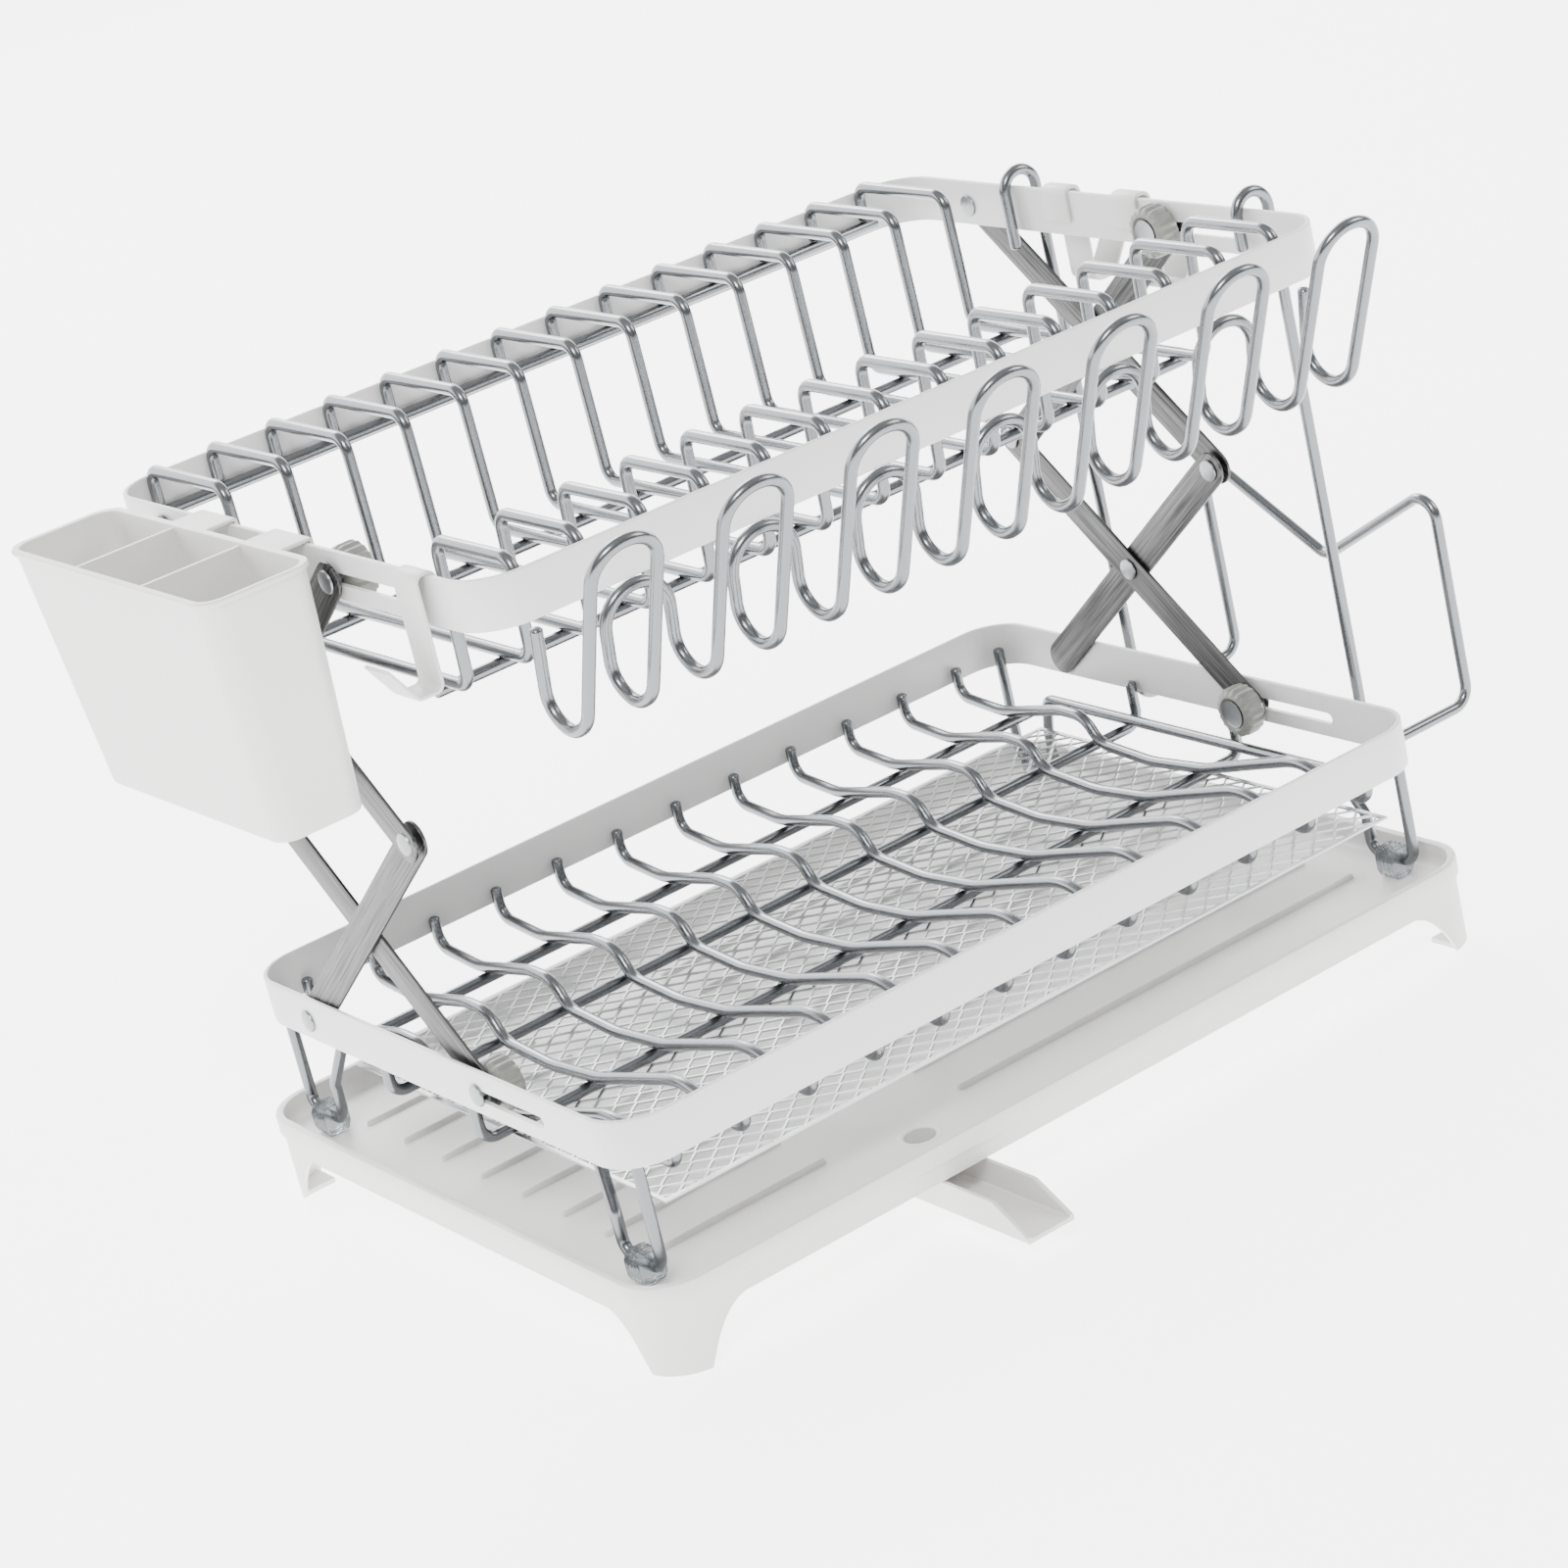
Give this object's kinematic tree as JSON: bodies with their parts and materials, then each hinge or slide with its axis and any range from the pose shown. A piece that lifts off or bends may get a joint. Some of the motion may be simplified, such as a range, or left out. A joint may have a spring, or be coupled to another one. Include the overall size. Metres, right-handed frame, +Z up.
{
  "type": "dish drying rack",
  "caption": "Collapsible two-tier dish drying rack: wire plate rack over a drip tray with spout, wire basket on scissor arms, cup hangers, utensil cup, board stand and hooks.",
  "frame": {"origin": "bottom centre of the bounding box of the unfolded rack, on the counter", "axes": "+X along the long side of the rack towards the board holder, +Y towards the back, +Z up"},
  "size_m": [0.572, 0.3634, 0.346],
  "materials": {
    "warm_white_plastic": "fine satin moulded",
    "white_paint": "satin powder coat",
    "brushed_bar": "lengthwise brushing",
    "knob_grey": "satin",
    "clear_foot": "clear moulded",
    "mesh_sheet": "expanded mesh",
    "chrome_wire": "satin polished"
  },
  "bodies": {
    "tray": {"drip_tray": "warm_white_plastic"},
    "spout": {"drain_spout": "warm_white_plastic"},
    "lower_rack": {"lower_band": "white_paint", "plate_wire_01": "chrome_wire", "plate_wire_02": "chrome_wire", "plate_wire_03": "chrome_wire", "plate_wire_04": "chrome_wire", "plate_wire_05": "chrome_wire", "plate_wire_06": "chrome_wire", "plate_wire_07": "chrome_wire", "plate_wire_08": "chrome_wire", "plate_wire_09": "chrome_wire", "plate_wire_10": "chrome_wire", "plate_wire_11": "chrome_wire", "plate_wire_12": "chrome_wire", "rear_long_wire": "chrome_wire", "middle_long_wire": "chrome_wire", "front_long_wire": "chrome_wire", "drain_mesh": "mesh_sheet", "left_leg_wire": "chrome_wire", "right_leg_wire": "chrome_wire", "front_left_foot": "clear_foot", "front_right_foot": "clear_foot", "rear_left_foot": "clear_foot", "rear_right_foot": "clear_foot"},
    "lower_rear_bars": {"left_lower_rear_bar": "brushed_bar", "right_lower_rear_bar": "brushed_bar"},
    "lower_front_bars": {"left_lower_front_bar": "brushed_bar", "right_lower_front_bar": "brushed_bar"},
    "upper_rear_bars": {"left_upper_rear_bar": "brushed_bar", "right_upper_rear_bar": "brushed_bar"},
    "upper_front_bars": {"left_upper_front_bar": "brushed_bar", "right_upper_front_bar": "brushed_bar"},
    "upper_basket": {"upper_band": "white_paint", "basket_floor_wire": "chrome_wire", "basket_rear_rail": "chrome_wire", "basket_wire_01": "chrome_wire", "basket_wire_02": "chrome_wire", "basket_wire_03": "chrome_wire", "basket_wire_04": "chrome_wire", "basket_wire_05": "chrome_wire", "basket_wire_06": "chrome_wire", "basket_wire_07": "chrome_wire", "basket_wire_08": "chrome_wire", "basket_wire_09": "chrome_wire", "basket_wire_10": "chrome_wire", "basket_wire_11": "chrome_wire", "basket_wire_12": "chrome_wire", "basket_wire_13": "chrome_wire", "basket_wire_14": "chrome_wire", "cup_hanger": "chrome_wire"},
    "left_lower_knob": {"left_lower_knob": "knob_grey"},
    "left_upper_knob": {"left_upper_knob": "knob_grey"},
    "right_lower_knob": {"right_lower_knob": "knob_grey"},
    "right_upper_knob": {"right_upper_knob": "knob_grey"},
    "utensil_cup": {"utensil_cup": "warm_white_plastic"},
    "board_holder": {"board_holder": "chrome_wire"},
    "left_hook": {"left_hook": "white_paint"},
    "right_rear_hook": {"right_rear_hook": "white_paint"},
    "right_front_hook": {"right_front_hook": "white_paint"}
  },
  "joints": [
    {"name": "spout_swivel", "type": "hinge", "parent": "tray", "child": "spout", "pos_m": [-0.07405, -0.1027, 0.015], "axis": [0, 0, 1], "range_deg": [-90, 90]},
    {"name": "rack_lift", "type": "slide", "parent": "tray", "child": "lower_rack", "axis": [0, 0, 1], "range_m": [0, 0.12]},
    {"name": "fold", "type": "hinge", "parent": "lower_rack", "child": "lower_rear_bars", "pos_m": [-0.00555, 0.1203, 0.09535], "axis": [1, 0, 0], "range_deg": [0, 26.8]},
    {"name": "lower_scissor", "type": "hinge", "parent": "lower_rear_bars", "child": "lower_front_bars", "pos_m": [-0.00555, 0.0513, 0.15143], "axis": [1, 0, 0], "range_deg": [-54, 0]},
    {"name": "middle_scissor", "type": "hinge", "parent": "lower_rear_bars", "child": "upper_rear_bars", "pos_m": [-0.00555, -0.0177, 0.2075], "axis": [1, 0, 0], "range_deg": [-54, 0]},
    {"name": "upper_scissor", "type": "hinge", "parent": "upper_rear_bars", "child": "upper_front_bars", "pos_m": [-0.00555, 0.0513, 0.26358], "axis": [1, 0, 0], "range_deg": [0, 54]},
    {"name": "basket_pivot", "type": "hinge", "parent": "upper_rear_bars", "child": "upper_basket", "pos_m": [-0.00555, 0.1203, 0.31965], "axis": [1, 0, 0], "range_deg": [0, 27]},
    {"name": "left_lower_knob_turn", "type": "hinge", "parent": "lower_front_bars", "child": "left_lower_knob", "pos_m": [-0.21055, -0.0177, 0.09535], "axis": [1, 0, 0], "range_deg": [0, 360]},
    {"name": "left_upper_knob_turn", "type": "hinge", "parent": "upper_front_bars", "child": "left_upper_knob", "pos_m": [-0.21055, -0.0177, 0.31965], "axis": [1, 0, 0], "range_deg": [0, 360]},
    {"name": "right_lower_knob_turn", "type": "hinge", "parent": "lower_front_bars", "child": "right_lower_knob", "pos_m": [0.19945, -0.0177, 0.09535], "axis": [1, 0, 0], "range_deg": [0, 360]},
    {"name": "right_upper_knob_turn", "type": "hinge", "parent": "upper_front_bars", "child": "right_upper_knob", "pos_m": [0.19945, -0.0177, 0.31965], "axis": [1, 0, 0], "range_deg": [0, 360]},
    {"name": "cup_lift", "type": "slide", "parent": "upper_basket", "child": "utensil_cup", "axis": [0, 0, 1], "range_m": [0, 0.06]},
    {"name": "holder_lift", "type": "slide", "parent": "upper_basket", "child": "board_holder", "axis": [0, 0, 1], "range_m": [0, 0.06]},
    {"name": "left_hook_lift", "type": "slide", "parent": "upper_basket", "child": "left_hook", "axis": [0, 0, 1], "range_m": [0, 0.04]},
    {"name": "right_rear_hook_lift", "type": "slide", "parent": "upper_basket", "child": "right_rear_hook", "axis": [0, 0, 1], "range_m": [0, 0.04]},
    {"name": "right_front_hook_lift", "type": "slide", "parent": "upper_basket", "child": "right_front_hook", "axis": [0, 0, 1], "range_m": [0, 0.04]}
  ],
  "couplings": [
    {"joint": "lower_scissor", "follows": "fold", "ratio": -2},
    {"joint": "middle_scissor", "follows": "fold", "ratio": -2},
    {"joint": "upper_scissor", "follows": "fold", "ratio": 2},
    {"joint": "basket_pivot", "follows": "fold", "ratio": 1}
  ]
}
